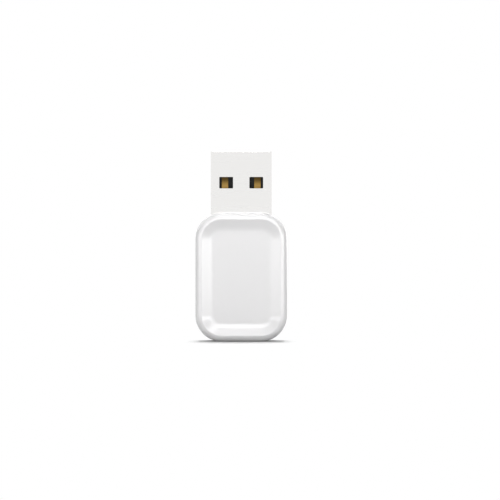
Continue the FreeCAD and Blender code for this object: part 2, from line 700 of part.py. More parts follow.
board = new_body("circuit_board")
panel = new_sketch(board, "PanelOutline", "XZ_Plane", f"-{BOARD_FRONT}")
draw_rectangle(panel, "panel", f"-{BOARD_HALF}", BOARD_HALF, BOARD_INSET, BOARD_TOP)
panel_pad = pad(board, "Panel", panel, "Sizes.board_sheet", -1)
lower_end = number(BOARD_INSET)
board_side = number(BOARD_HALF)
dress(
    board,
    "LowerCorners",
    "Fillet",
    f"max(Sizes.corner_radius - {BOARD_INSET}; {SMALLEST_CORNER})",
    panel_pad,
    lambda p: near(p.z, lower_end) and near(abs(p.x), board_side),
)
holes = pin_circles(board, "PinHoleOutline", f"-{BOARD_FRONT}", "Sizes.pin_radius + Sizes.pin_gap")
pocket(board, "PinHoles", holes, "Sizes.board_sheet", -1)
slots = new_sketch(board, "LegSlotOutline", "XZ_Plane", f"-{BOARD_FRONT}")
for tag, sign in (("left", -1), ("right", 1)):
    inner = f"{sign} * ({inner_width} - Sizes.slot_gap)"
    outer = f"{sign} * ({half_width} + Sizes.slot_gap)"
    ends = (outer, inner) if sign < 0 else (inner, outer)
    low = f"{LEG_LEVEL} - Sizes.leg_width / 2 - Sizes.slot_gap"
    high = f"{LEG_LEVEL} + Sizes.leg_width / 2 + Sizes.slot_gap"
    draw_rectangle(slots, tag, *ends, low, high)
pocket(board, "LegSlots", slots, "Sizes.board_sheet", -1)

# Parts on the board. Each stands on the front face, or on the back where it says so.


def draw_centred(sketch, tag, x, z, width, height):
    """A rectangle about a centre."""
    left, right = f"{x} - {width} / 2", f"{x} + {width} / 2"
    draw_rectangle(sketch, tag, left, right, f"{z} - {height} / 2", f"{z} + {height} / 2")


def on_board(body, name, behind=False, lift="0"):
    """A sketch on a face of the board, and the way that leads away from the board."""
    if behind:
        return new_sketch(body, name, "XZ_Plane", f"-{BOARD_BACK} - {lift}"), -1
    return new_sketch(body, name, "XZ_Plane", f"-{BOARD_FRONT} + {lift}"), 1


def flat_chip(label, x, z, side):
    """A flat square package with a dimple at its first pin."""
    body = new_body(label)
    sketch, away = on_board(body, "Outline")
    draw_centred(sketch, "package", x, z, side, side)
    package = pad(body, "Package", sketch, "Sizes.chip_height", away)
    top = number(f"{BOARD_FRONT} - Sizes.chip_height")
    dress(body, "TopEdges", "Chamfer", "Sizes.chip_edge", package, lambda p: near(p.y, top))
    mark, away = on_board(body, "MarkOutline", lift="Sizes.chip_height - Sizes.dimple_depth")
    inset = f"({side} / 2 - 3 * Sizes.dimple_radius)"
    draw_circle(mark, "mark", f"{x} - {inset}", f"{z} + {inset}", "Sizes.dimple_radius")
    pocket(body, "Mark", mark, "Sizes.chip_height", away)


def lead_row(body, name, x, z, up, count):
    """Bent leads along one long side of a package, from its middle down to the board."""
    level = "Sizes.outline_height / 2"
    sheet = "Sizes.lead_sheet"
    profile = [
        (f"{level} + {sheet} / 2", f"-{sheet}"),
        (f"{level} + {sheet} / 2", f"2 * {sheet}"),
        (sheet, f"2 * {sheet}"),
        (sheet, "Sizes.lead_reach"),
        ("0", "Sizes.lead_reach"),
        ("0", sheet),
        (f"{level} - {sheet} / 2", sheet),
        (f"{level} - {sheet} / 2", f"-{sheet}"),
    ]
    first = f"{x} - Sizes.lead_pitch - Sizes.lead_width / 2"
    sketch = new_sketch(body, f"{name}LeadOutline", "YZ_Plane", first)
    edge = f"{z} {up} Sizes.outline_depth / 2"
    corners = [(f"{BOARD_FRONT} - ({rise})", f"{edge} {up} ({out})") for rise, out in profile]
    draw_polygon(sketch, "lead", corners)
    lead = pad(body, f"{name}Lead", sketch, "Sizes.lead_width", 1)
    row = body.newObject("PartDesign::LinearPattern", f"{name}Leads")
    row.Originals = [lead]
    row.Direction = (sketch, ["N_Axis"])
    row.setExpression("Length", "2 * Sizes.lead_pitch")
    row.Occurrences = count
    body.Tip = row
    doc.recompute()


def leaded_chip(label, x, z, upper_leads):
    """A small package with three bent leads below and two or three above."""
    body = new_body(label)
    sketch, away = on_board(body, "Outline", lift="Sizes.outline_lift")
    draw_centred(sketch, "package", x, z, "Sizes.outline_width", "Sizes.outline_depth")
    package = pad(body, "Package", sketch, "Sizes.outline_height - Sizes.outline_lift", away)
    top = number(f"{BOARD_FRONT} - Sizes.outline_height")
    dress(body, "TopEdges", "Chamfer", "Sizes.chip_edge", package, lambda p: near(p.y, top))
    lead_row(body, "Lower", x, z, "-", 3)
    lead_row(body, "Upper", x, z, "+", upper_leads)


def two_ended(label, x, z, length, width, height, upright=False, behind=False):
    """A ceramic block with a metal terminal on each end, such as a chip capacitor."""
    body = new_body(label)
    proud = "2 * Sizes.cap_proud"
    core, away = on_board(body, "CoreOutline", behind)
    size = (f"({width} - {proud})", f"({length} - {proud})")
    draw_centred(core, "core", x, z, *(size if upright else size[::-1]))
    pad(body, "Core", core, f"{height} - Sizes.cap_proud", away)
    caps, away = on_board(body, "TerminalOutline", behind)
    share = f"(Sizes.cap_share * {length})"
    for tag, sign in (("lower", "-"), ("upper", "+")):
        if upright:
            draw_centred(caps, tag, x, f"{z} {sign} ({length} - {share}) / 2", width, share)
        else:
            draw_centred(caps, tag, f"{x} {sign} ({length} - {share}) / 2", z, share, width)
    pad(body, "Terminals", caps, height, away)


def small_capacitor(label, x, z, upright=False, behind=False):
    """A capacitor of the small size."""
    size = ("Sizes.small_length", "Sizes.small_width", "Sizes.small_height")
    two_ended(label, x, z, *size, upright, behind)


def large_capacitor(label, x, z):
    """A capacitor of the large size."""
    two_ended(label, x, z, "Sizes.large_length", "Sizes.large_width", "Sizes.large_height")


def resistor(label, x, z, upright=False):
    """A resistor: as small, and flatter."""
    size = ("Sizes.small_length", "Sizes.small_width", "Sizes.resistor_height")
    two_ended(label, x, z, *size, upright)


def crystal(label, x, z):
    """A quartz crystal: a ceramic base under a metal lid."""
    body = new_body(label)
    base, away = on_board(body, "BaseOutline")
    draw_centred(base, "base", x, z, "Sizes.crystal_width", "Sizes.crystal_depth")
    pad(body, "Base", base, "Sizes.crystal_height", away)
    lid, away = on_board(body, "LidOutline")
    half_x = "(Sizes.crystal_width / 2 - Sizes.crystal_edge)"
    half_z = "(Sizes.crystal_depth / 2 - Sizes.crystal_edge)"
    limits = (f"{x} - {half_x}", f"{x} + {half_x}", f"{z} - {half_z}", f"{z} + {half_z}")
    draw_rounded(lid, "lid", *limits, "2 * Sizes.crystal_edge")
    pad(body, "Lid", lid, "Sizes.crystal_height + Sizes.crystal_lid", away)


# The aerial at the lower end, then its tuning parts and the radio chip
two_ended(
    "chip_antenna", "0", AERIAL_ROW, "Sizes.aerial_length", "Sizes.aerial_width", "Sizes.aerial_height"
)
tuning = "(Sizes.small_width / 2 + Sizes.part_gap)"
small_capacitor("tuning_inductor", f"-{tuning}", TUNING_ROW, upright=True)
small_capacitor("tuning_capacitor", tuning, TUNING_ROW, upright=True)
flat_chip("radio_chip", "0", RADIO_ROW, "Sizes.radio_side")
beside_radio = f"((Sizes.radio_side / 2 + {BOARD_HALF}) / 2)"
crystal("radio_crystal", f"-{beside_radio}", RADIO_ROW)
two_ended(
    "power_inductor", beside_radio, RADIO_ROW, "Sizes.coil_length", "Sizes.coil_width", "Sizes.coil_height"
)

# The USB bridge chip above it, and the small packages beside the contacts' tails
flat_chip("usb_bridge_chip", "0", BRIDGE_ROW, "Sizes.bridge_side")
beside_bridge = "(Sizes.bridge_side / 2 + Sizes.part_gap + Sizes.outline_width / 2)"
leaded_chip("voltage_regulator", f"-{beside_bridge}", OUTLINE_ROW, 2)
leaded_chip("surge_protector", beside_bridge, OUTLINE_ROW, 3)
small_end = "Sizes.bridge_side / 2 + Sizes.part_gap + Sizes.small_length"
rib_face = f"{RIB_ACROSS} - Sizes.rib_sheet / 2"
large_across = f"(({small_end} + {rib_face}) / 2)"
two_ended(
    "ferrite_bead",
    f"-{large_across}",
    BRIDGE_ROW,
    "Sizes.large_length",
    "Sizes.large_width",
    "Sizes.large_height",
)

# Capacitors: round the radio chip, beside the crystal, round the bridge chip and behind
capacitor_number = itertools.count(1)


def next_capacitor():
    """The name of the next capacitor."""
    return f"capacitor_{next(capacitor_number)}"


near_radio = "(Sizes.radio_side / 2 + Sizes.part_gap + Sizes.small_length / 2)"
near_bridge = "(Sizes.bridge_side / 2 + Sizes.part_gap + Sizes.small_length / 2)"
radio_corner = "(Sizes.radio_side / 2 - Sizes.small_width / 2)"
bridge_corner = "(Sizes.bridge_side / 2 - Sizes.small_width / 2)"
above_crystal = f"{RADIO_ROW} + Sizes.crystal_depth / 2 + Sizes.part_gap + Sizes.small_length / 2"
clear_of_crystal = f"{above_crystal} + Sizes.small_length / 2 + Sizes.close_gap + Sizes.large_width / 2"
large_row = f"max({BRIDGE_ROW} - {bridge_corner}; {clear_of_crystal})"
for side in ("-", ""):
    for up in ("-", "+"):
        small_capacitor(next_capacitor(), f"{side}{near_radio}", f"{RADIO_ROW} {up} {radio_corner}")
    small_capacitor(next_capacitor(), f"{side}{near_bridge}", f"{BRIDGE_ROW} - {bridge_corner}")
    large_capacitor(next_capacitor(), f"{side}{large_across}", large_row)
    small_capacitor(next_capacitor(), f"{side}{near_radio}", RADIO_ROW, behind=True)
    small_capacitor(next_capacitor(), f"{side}{near_bridge}", BRIDGE_ROW, behind=True)
for way in ("-", "+"):
    across = f"-{beside_radio} {way} (Sizes.part_gap + Sizes.small_width) / 2"
    small_capacitor(next_capacitor(), across, above_crystal, upright=True)

# Resistors: one in line with each data contact, and two beside the bridge chip
for place, side in enumerate(("-", ""), start=1):
    resistor(f"resistor_{place}", f"{side}Sizes.data_pitch / 2", DATA_ROW, upright=True)
    resistor(f"resistor_{place + 2}", f"{side}{near_bridge}", BRIDGE_ROW)

# Every object has to be whole before anything is written
doc.recompute()
for item in doc.Objects:
    if "Invalid" in item.State or "Error" in item.State:
        raise RuntimeError(f"{item.Name} did not build: {item.State}")
for node in nodes:
    if node.Shape.isNull() or not node.Shape.isValid() or len(node.Shape.Solids) != 1:
        raise RuntimeError(f"{node.Label} is not one valid solid")

os.makedirs("parts", exist_ok=True)
for node in nodes:
    node.Shape.exportStep(os.path.join("parts", f"{node.Label}.step"))
print(f"{len(nodes)} parts written")
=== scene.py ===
import math

import bpy
from mathutils import Matrix, Vector


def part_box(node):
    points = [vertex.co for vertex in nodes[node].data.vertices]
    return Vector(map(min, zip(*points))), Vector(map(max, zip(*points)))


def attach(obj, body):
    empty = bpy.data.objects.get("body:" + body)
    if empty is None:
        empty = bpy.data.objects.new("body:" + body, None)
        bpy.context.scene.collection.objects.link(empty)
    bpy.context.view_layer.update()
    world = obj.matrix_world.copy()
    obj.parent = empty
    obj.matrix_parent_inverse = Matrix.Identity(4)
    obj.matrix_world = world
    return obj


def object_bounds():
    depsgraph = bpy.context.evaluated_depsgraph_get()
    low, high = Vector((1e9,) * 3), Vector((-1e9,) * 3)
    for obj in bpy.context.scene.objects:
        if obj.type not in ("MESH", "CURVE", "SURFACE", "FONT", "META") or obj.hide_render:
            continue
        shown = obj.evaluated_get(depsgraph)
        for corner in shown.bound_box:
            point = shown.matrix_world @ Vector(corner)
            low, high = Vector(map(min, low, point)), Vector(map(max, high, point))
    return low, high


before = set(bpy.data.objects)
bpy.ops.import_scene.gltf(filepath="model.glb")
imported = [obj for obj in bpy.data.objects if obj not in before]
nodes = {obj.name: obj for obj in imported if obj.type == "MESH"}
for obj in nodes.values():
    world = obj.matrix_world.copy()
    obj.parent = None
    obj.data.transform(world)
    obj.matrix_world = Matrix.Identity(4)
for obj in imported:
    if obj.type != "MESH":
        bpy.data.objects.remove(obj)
cad_box = [list(corner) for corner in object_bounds()]

# Circuit board
# A sheet of glass and resin one millimetre thick, copper on both faces under a dark green varnish.
# The varnish is dipped on, so it lies a little wavy and shows the copper's edges as low ridges.
MM = 0.001
VARNISH = (0.012, 0.062, 0.028)
RIDGE = (0.022, 0.105, 0.045)
GOLD_FLASH = (0.83, 0.58, 0.22)
TRACK_WIDTH = 0.16 * MM
TRACK_RISE = 0.05 * MM
TRACK_CORNER = 0.35 * MM
SAME_PLACE = 0.001 * MM
WAVE_DEPTH = 0.2 * MM
GRAIN_DEPTH = 0.05 * MM


def wire(tree, *pairs):
    """Links outputs to inputs, pair by pair."""
    for out, into in pairs:
        tree.links.new(out, into)


def add_input(tree, kind, name, value=None):
    """A named input of a group, with its default."""
    socket = tree.interface.new_socket(name=name, in_out="INPUT", socket_type=f"NodeSocket{kind}")
    if value is not None:
        socket.default_value = value
    return socket


def add_output(tree, kind, name):
    """A named output of a group."""
    return tree.interface.new_socket(name=name, in_out="OUTPUT", socket_type=f"NodeSocket{kind}")


def finish_of(name, colour, metallic=0.0, roughness=0.5, ior=1.5):
    """A material with plain values; what varies over a surface is linked to its shader after."""
    material = bpy.data.materials.new(name)
    material.use_nodes = True
    shader = material.node_tree.nodes["Principled BSDF"]
    shader.inputs["Base Color"].default_value = (*colour, 1.0)
    shader.inputs["Metallic"].default_value = metallic
    shader.inputs["Roughness"].default_value = roughness
    shader.inputs["IOR"].default_value = ior
    return material, material.node_tree, shader


def dress(material, *names):
    """Gives CAD nodes their finish."""
    for name in names:
        nodes[name].data.materials.clear()
        nodes[name].data.materials.append(material)


def surface_noise():
    """A group for any surface: slow waves and fine grain, as a mask, a roughness and a normal."""
    group = bpy.data.node_groups.new("surface_noise", "ShaderNodeTree")
    add_input(group, "Float", "Slow Scale", 400.0)
    add_input(group, "Float", "Fine Scale", 9000.0)
    add_input(group, "Float", "Roughness", 0.3)
    add_input(group, "Float", "Roughness Spread", 0.02)
    add_input(group, "Float", "Slow Height", 0.0)
    add_input(group, "Float", "Fine Height", 0.02)
    add_input(group, "Vector", "Stretch", (1.0, 1.0, 1.0))
    add_output(group, "Float", "Mask")
    add_output(group, "Float", "Roughness")
    add_output(group, "Vector", "Normal")
    make = group.nodes.new
    given = make("NodeGroupInput")
    result = make("NodeGroupOutput")
    place = make("ShaderNodeTexCoord")
    stretched = make("ShaderNodeVectorMath")
    stretched.operation = "MULTIPLY"
    slow = make("ShaderNodeTexNoise")
    slow.inputs["Detail"].default_value = 2.0
    fine = make("ShaderNodeTexNoise")
    fine.inputs["Detail"].default_value = 3.0
    low = make("ShaderNodeMath")
    low.operation = "SUBTRACT"
    high = make("ShaderNodeMath")
    high.operation = "ADD"
    spread = make("ShaderNodeMapRange")
    waves = make("ShaderNodeBump")
    waves.inputs["Distance"].default_value = WAVE_DEPTH
    grain = make("ShaderNodeBump")
    grain.inputs["Distance"].default_value = GRAIN_DEPTH
    wire(
        group,
        (place.outputs["Object"], stretched.inputs[0]),
        (given.outputs["Stretch"], stretched.inputs[1]),
        (stretched.outputs["Vector"], slow.inputs["Vector"]),
        (stretched.outputs["Vector"], fine.inputs["Vector"]),
        (given.outputs["Slow Scale"], slow.inputs["Scale"]),
        (given.outputs["Fine Scale"], fine.inputs["Scale"]),
        (given.outputs["Roughness"], low.inputs[0]),
        (given.outputs["Roughness Spread"], low.inputs[1]),
        (given.outputs["Roughness"], high.inputs[0]),
        (given.outputs["Roughness Spread"], high.inputs[1]),
        (slow.outputs["Fac"], spread.inputs["Value"]),
        (low.outputs[0], spread.inputs["To Min"]),
        (high.outputs[0], spread.inputs["To Max"]),
        (slow.outputs["Fac"], waves.inputs["Height"]),
        (given.outputs["Slow Height"], waves.inputs["Strength"]),
        (fine.outputs["Fac"], grain.inputs["Height"]),
        (given.outputs["Fine Height"], grain.inputs["Strength"]),
        (waves.outputs["Normal"], grain.inputs["Normal"]),
        (fine.outputs["Fac"], result.inputs["Mask"]),
        (spread.outputs["Result"], result.inputs["Roughness"]),
        (grain.outputs["Normal"], result.inputs["Normal"]),
    )
    return group


noise_group = surface_noise()


def roughen(tree, shader, **values):
    """Places the surface noise in a material, with that material's own values."""
    noise = tree.nodes.new("ShaderNodeGroup")
    noise.node_tree = noise_group
    for name, value in values.items():
        noise.inputs[name.replace("_", " ").title()].default_value = value
    wire(
        tree,
        (noise.outputs["Roughness"], shader.inputs["Roughness"]),
        (noise.outputs["Normal"], shader.inputs["Normal"]),
    )
    return noise


def colours_of(mix):
    """The two colour inputs and the colour output of a Mix node that blends colours."""
    first, second = [i for i in mix.inputs if i.type == "RGBA"]
    return first, second, next(o for o in mix.outputs if o.type == "RGBA")


def blend_tones(tree, factor, into, first_tone, second_tone):
    """Blends two tones by a factor that changes over the surface."""
    mix = tree.nodes.new("ShaderNodeMix")
    mix.data_type = "RGBA"
    first, second, blended = colours_of(mix)
    first.default_value = (*first_tone, 1.0)
    second.default_value = (*second_tone, 1.0)
    wire(tree, (factor, mix.inputs["Factor"]), (blended, into))


def speckle(tree, shader, noise, tone, spread):
    """Lets the fine noise carry a colour from a darker to a lighter tone."""
    darker = [c * (1 - spread) for c in tone]
    lighter = [c * (1 + spread) for c in tone]
    blend_tones(tree, noise.outputs["Mask"], shader.inputs["Base Color"], darker, lighter)


varnish, tree, shader = finish_of("board_varnish", VARNISH)
noise = roughen(
    tree,
    shader,
    slow_scale=900.0,
    fine_scale=1500.0,
    roughness=0.3,
    roughness_spread=0.05,
    slow_height=0.05,
)
speckle(tree, shader, noise, VARNISH, 0.25)
dress(varnish, "circuit_board")
board_low, board_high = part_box("circuit_board")
FRONT_FACE = board_low.y
BACK_FACE = board_high.y


def grown(points, tree, inputs, name, edges=()):
    """Runs a Geometry Nodes tree on given points and hands back a plain mesh piece."""
    mesh = bpy.data.meshes.new(name)
    mesh.from_pydata([p["at"] for p in points], edges, [])
    for key in [k for k in points[0] if k != "at"]:
        kept = mesh.attributes.new(key, "FLOAT_VECTOR", "POINT")
        kept.data.foreach_set("vector", [v for p in points for v in p[key]])
    source = bpy.data.objects.new(f"{name}_points", mesh)
    bpy.context.collection.objects.link(source)
    modifier = source.modifiers.new("grow", "NODES")
    modifier.node_group = tree
    for item in tree.interface.items_tree:
        if item.name in inputs:
            modifier[item.identifier] = inputs[item.name]
    bpy.context.view_layer.update()
    done = source.evaluated_get(bpy.context.evaluated_depsgraph_get())
    result = bpy.data.meshes.new_from_object(done)
    result.name = name
    bpy.data.objects.remove(source)
    while result.materials[0] is None:
        result.materials.pop(index=0)
    piece = bpy.data.objects.new(name, result)
    bpy.context.collection.objects.link(piece)
    return piece


def new_tree(name):
    """An empty Geometry Nodes tree with a mesh in, a mesh out and a material to set."""
    tree = bpy.data.node_groups.new(name, "GeometryNodeTree")
    add_input(tree, "Geometry", "Geometry")
    add_input(tree, "Material", "Material")
    add_output(tree, "Geometry", "Geometry")
    return tree, tree.nodes.new("NodeGroupInput"), tree.nodes.new("NodeGroupOutput")


def close_tree(tree, given, result, last):
    """Ends a tree in Realize Instances and Set Material."""
    real = tree.nodes.new("GeometryNodeRealizeInstances")
    paint = tree.nodes.new("GeometryNodeSetMaterial")
    wire(
        tree,
        (last, real.inputs[0]),
        (real.outputs[0], paint.inputs["Geometry"]),
        (given.outputs["Material"], paint.inputs["Material"]),
        (paint.outputs["Geometry"], result.inputs["Geometry"]),
    )


def track_tree():
    """Tracks: each line becomes a low flat ridge with its corners cut as a layout program does."""
    tree, given, result = new_tree("track_ridges")
    add_input(tree, "Float", "Width", TRACK_WIDTH)
    add_input(tree, "Float", "Rise", TRACK_RISE)
    add_input(tree, "Float", "Corner", TRACK_CORNER)
    make = tree.nodes.new
    line = make("GeometryNodeMeshToCurve")
    cut = make("GeometryNodeFilletCurve")
    cut.mode = "POLY"
    cut.inputs["Count"].default_value = 2
    upright = make("GeometryNodeSetCurveNormal")
    upright.mode = "FREE"
    upright.inputs["Normal"].default_value = (0.0, 1.0, 0.0)
    profile = make("GeometryNodeCurvePrimitiveQuadrilateral")
    sweep = make("GeometryNodeCurveToMesh")
    sweep.inputs["Fill Caps"].default_value = True
    joined = make("GeometryNodeMergeByDistance")
    joined.inputs["Distance"].default_value = SAME_PLACE
    wire(
        tree,
        (given.outputs["Geometry"], line.inputs["Mesh"]),
        (line.outputs["Curve"], cut.inputs["Curve"]),
        (given.outputs["Corner"], cut.inputs["Radius"]),
        (cut.outputs["Curve"], upright.inputs["Curve"]),
        (given.outputs["Rise"], profile.inputs["Width"]),
        (given.outputs["Width"], profile.inputs["Height"]),
        (upright.outputs["Curve"], sweep.inputs["Curve"]),
        (profile.outputs["Curve"], sweep.inputs["Profile Curve"]),
        (sweep.outputs["Mesh"], joined.inputs["Geometry"]),
    )
    close_tree(tree, given, result, joined.outputs["Geometry"])
    return tree


def middle(name):
    """The middle of a node's box, as x and z."""
    low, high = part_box(name)
    return (low.x + high.x) / 2, (low.z + high.z) / 2


radio_x, radio_z = middle("radio_chip")
bridge_x, bridge_z = middle("usb_bridge_chip")
CHIP_HALF = (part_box("radio_chip")[1].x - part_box("radio_chip")[0].x) / 2
CHIP_PITCH = 0.5 * MM
CHIP_ROW = 7
CHIP_LINKS = 4
TRACK_LEAD = 0.2 * MM
MIDDLE_COLUMN = 1.5 * MM


def chip_edge_points(x, z):
    """The middle of each lead round a square chip, with the way it points."""
    found = []
    for side in range(4):
        way = Matrix.Rotation(side * math.pi / 2, 3, "Y") @ Vector((1, 0, 0))
        along = Vector((-way.z, 0, way.x))
        for step in range(CHIP_ROW):
            shift = (step - (CHIP_ROW - 1) / 2) * CHIP_PITCH
            found.append((Vector((x, 0, z)) + way * CHIP_HALF + along * shift, way))
    return found


def route(start, way, end):
    """A track from a lead straight out, then across at a slant, then on to its end."""
    out = start + way * TRACK_LEAD
    if abs(way.x) > 0.5:
        knee = Vector((end.x - way.x * TRACK_LEAD, 0, end.z))
    else:
        knee = Vector((end.x, 0, end.z - way.z * TRACK_LEAD))
    return [start, out, knee, end]


def side_pads(name):
    """The two ends of a small part, the one nearer the middle line first."""
    low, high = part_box(name)
    x, z = middle(name)
    if high.x - low.x > high.z - low.z:
        ends = [Vector((low.x, 0, z)), Vector((high.x, 0, z))]
    else:
        ends = [Vector((x, 0, low.z)), Vector((x, 0, high.z))]
    return sorted(ends, key=lambda p: abs(p.x))


RADIO_PARTS = [f"capacitor_{n}" for n in (1, 2, 7, 8)] + ["tuning_inductor", "tuning_capacitor"]
BRIDGE_PARTS = ["capacitor_3", "capacitor_9"] + [f"resistor_{n}" for n in (3, 4, 1, 2)]
routes = []
for x, z, parts in ((radio_x, radio_z, RADIO_PARTS), (bridge_x, bridge_z, BRIDGE_PARTS)):
    leads = chip_edge_points(x, z)
    taken = set()
    for part in parts:
        pads = side_pads(part)
        if abs(pads[0].x) < MIDDLE_COLUMN:
            goal = min(pads, key=lambda p: abs(p.z - z))
        else:
            goal = pads[0]
        free = [n for n in range(len(leads)) if n not in taken]
        best = min(free, key=lambda n: (leads[n][0] - goal).length)
        taken.add(best)
        routes.append(route(*leads[best], goal))
for step in range(CHIP_LINKS):
    x = (step - (CHIP_LINKS - 1) / 2) * CHIP_PITCH
    routes.append([Vector((x, 0, radio_z + CHIP_HALF)), Vector((x, 0, bridge_z - CHIP_HALF))])
for name, part in (("power_contact", "voltage_regulator"), ("ground_contact", "surge_protector")):
    low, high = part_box(name)
    x = (low.x + high.x) / 2
    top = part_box(part)[1].z
    routes.append([Vector((x, 0, low.z)), Vector((x, 0, top))])
for name, part in (("data_minus_contact", "resistor_1"), ("data_plus_contact", "resistor_2")):
    low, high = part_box(name)
    part_x, _ = middle(part)
    x = (low.x + high.x) / 2
    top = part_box(part)[1].z
    routes.append([Vector((x, 0, low.z)), Vector((part_x, 0, top))])
points = []
edges = []
for line in routes:
    for n, p in enumerate(line):
        if n:
            edges.append((len(points) - 1, len(points)))
        points.append({"at": (p.x, FRONT_FACE, p.z)})
ridge, tree, shader = finish_of("varnish_over_copper", RIDGE)
noise = roughen(tree, shader, slow_scale=900.0, fine_scale=1500.0, roughness_spread=0.05)
speckle(tree, shader, noise, RIDGE, 0.2)
tracks = grown(points, track_tree(), {"Material": ridge}, "copper_tracks", edges)
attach(tracks, "root")


VIA_PITCH = 1.0 * MM
VIA_INSET = 0.45 * MM
VIA_SIDE = 0.42 * MM
VIA_WALL_SHARE = 0.25
VIA_RADIUS_SHARE = 0.375


def via_tree():
    """Vias: a ring of copper at each step round the board's edge, on both faces."""
    tree, given, result = new_tree("via_fence")
    add_input(tree, "Float", "Pitch", VIA_PITCH)
    add_input(tree, "Float", "Side", VIA_SIDE)
    add_input(tree, "Float", "Board", BACK_FACE - FRONT_FACE)
    make = tree.nodes.new
    line = make("GeometryNodeMeshToCurve")
    steps = make("GeometryNodeResampleCurve")
    steps.mode = "LENGTH"
    wall = make("ShaderNodeMath")
    wall.operation = "MULTIPLY"
    wall.inputs[1].default_value = VIA_WALL_SHARE
    barrel = make("GeometryNodeCurvePrimitiveCircle")
    barrel.inputs["Resolution"].default_value = 10
    band = make("GeometryNodeCurvePrimitiveQuadrilateral")
    taller = make("ShaderNodeMath")
    taller.operation = "ADD"
    taller.inputs[1].default_value = 2 * TRACK_RISE
    sweep = make("GeometryNodeCurveToMesh")
    stand = make("GeometryNodeTransform")
    stand.inputs["Rotation"].default_value = (math.pi / 2, 0.0, 0.0)
    scatter = make("GeometryNodeInstanceOnPoints")
    radius = make("ShaderNodeMath")
    radius.operation = "MULTIPLY"
    radius.inputs[1].default_value = VIA_RADIUS_SHARE
    wire(
        tree,
        (given.outputs["Geometry"], line.inputs["Mesh"]),
        (line.outputs["Curve"], steps.inputs["Curve"]),
        (given.outputs["Pitch"], steps.inputs["Length"]),
        (given.outputs["Side"], wall.inputs[0]),
        (given.outputs["Side"], radius.inputs[0]),
        (radius.outputs[0], barrel.inputs["Radius"]),
        (given.outputs["Board"], taller.inputs[0]),
        (wall.outputs[0], band.inputs["Width"]),
        (taller.outputs[0], band.inputs["Height"]),
        (barrel.outputs["Curve"], sweep.inputs["Curve"]),
        (band.outputs["Curve"], sweep.inputs["Profile Curve"]),
        (sweep.outputs["Mesh"], stand.inputs["Geometry"]),
        (steps.outputs["Curve"], scatter.inputs["Points"]),
        (stand.outputs["Geometry"], scatter.inputs["Instance"]),
    )
    close_tree(tree, given, result, scatter.outputs["Instances"])
    return tree


copper, tree, shader = finish_of("gold_flashed_copper", GOLD_FLASH, metallic=1.0)
roughen(tree, shader, fine_scale=6000.0, roughness=0.35, roughness_spread=0.06, fine_height=0.1)
across = board_high.x - VIA_INSET
AERIAL_CLEAR = 5.6 * MM
FENCE_TOP = 17.0 * MM
ROW_START = 2.0 * MM
ROW_END = 4.0 * MM
level = (FRONT_FACE + BACK_FACE) / 2
points = []
edges = []
for side in (-1, 1):
    edges.append((len(points), len(points) + 1))
    points.append({"at": (side * across, level, AERIAL_CLEAR)})
    points.append({"at": (side * across, level, FENCE_TOP)})
for side in (-1, 1):
    edges.append((len(points), len(points) + 1))
    points.append({"at": (side * ROW_START, level, AERIAL_CLEAR)})
    points.append({"at": (side * ROW_END, level, AERIAL_CLEAR)})
vias = grown(points, via_tree(), {"Material": copper}, "via_fence", edges)
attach(vias, "root")

# Chips
# Silicon in black filled resin, moulded with a matt top; the small packages stand on bent leads
# of tinned copper that come out of their long sides.
RESIN = (0.016, 0.016, 0.017)
TIN = (0.62, 0.62, 0.6)
resin, tree, shader = finish_of("chip_resin", RESIN)
noise = roughen(
    tree,
    shader,
    fine_scale=12000.0,
    roughness=0.58,
    roughness_spread=0.06,
    fine_height=0.25,
)
speckle(tree, shader, noise, RESIN, 0.5)
dress(resin, "radio_chip", "usb_bridge_chip")

PACKAGE_HALF = 0.82 * MM
leaded, tree, shader = finish_of("resin_and_leads", RESIN)
roughen(tree, shader, fine_scale=12000.0, roughness=0.5, roughness_spread=0.08, fine_height=0.15)
place = tree.nodes.new("ShaderNodeTexCoord")
height = tree.nodes.new("ShaderNodeSeparateXYZ")
beyond = tree.nodes.new("ShaderNodeMath")
beyond.operation = "SUBTRACT"
beyond.inputs[1].default_value = middle("voltage_regulator")[1]
width = tree.nodes.new("ShaderNodeMath")
width.operation = "ABSOLUTE"
lead = tree.nodes.new("ShaderNodeMath")
lead.operation = "GREATER_THAN"
lead.inputs[1].default_value = PACKAGE_HALF
wire(
    tree,
    (place.outputs["Object"], height.inputs[0]),
    (height.outputs["Z"], beyond.inputs[0]),
    (beyond.outputs[0], width.inputs[0]),
    (width.outputs[0], lead.inputs[0]),
    (lead.outputs[0], shader.inputs["Metallic"]),
)
blend_tones(tree, lead.outputs[0], shader.inputs["Base Color"], RESIN, TIN)
dress(leaded, "voltage_regulator", "surge_protector")

# Small parts
# Fired ceramic blocks, each with a plated terminal on either end; the aerial is the largest.
# Each terminal is soldered down, and the solder climbs it in a hollow slope.
CAPACITOR_TAN = (0.32, 0.2, 0.11)
RESISTOR_BLACK = (0.02, 0.02, 0.022)
AERIAL_WHITE = (0.72, 0.71, 0.66)
FERRITE_GREY = (0.055, 0.052, 0.05)
tan, tree, shader = finish_of("capacitor_ceramic", CAPACITOR_TAN)
noise = roughen(tree, shader, fine_scale=8000.0, roughness=0.5, roughness_spread=0.08, fine_height=0.15)
speckle(tree, shader, noise, CAPACITOR_TAN, 0.2)
dress(tan, *[f"capacitor_{n}" for n in range(1, 15)], "tuning_capacitor")
black, tree, shader = finish_of("resistor_glass", RESISTOR_BLACK)
noise = roughen(tree, shader, slow_scale=2500.0, roughness=0.25, roughness_spread=0.06, slow_height=0.1)
speckle(tree, shader, noise, RESISTOR_BLACK, 0.3)
dress(black, *[f"resistor_{n}" for n in range(1, 5)])
fired, tree, shader = finish_of("fired_aerial_body", AERIAL_WHITE)
noise = roughen(tree, shader, fine_scale=7000.0, roughness=0.42, roughness_spread=0.06, fine_height=0.1)
speckle(tree, shader, noise, AERIAL_WHITE, 0.06)
dress(fired, "chip_antenna")
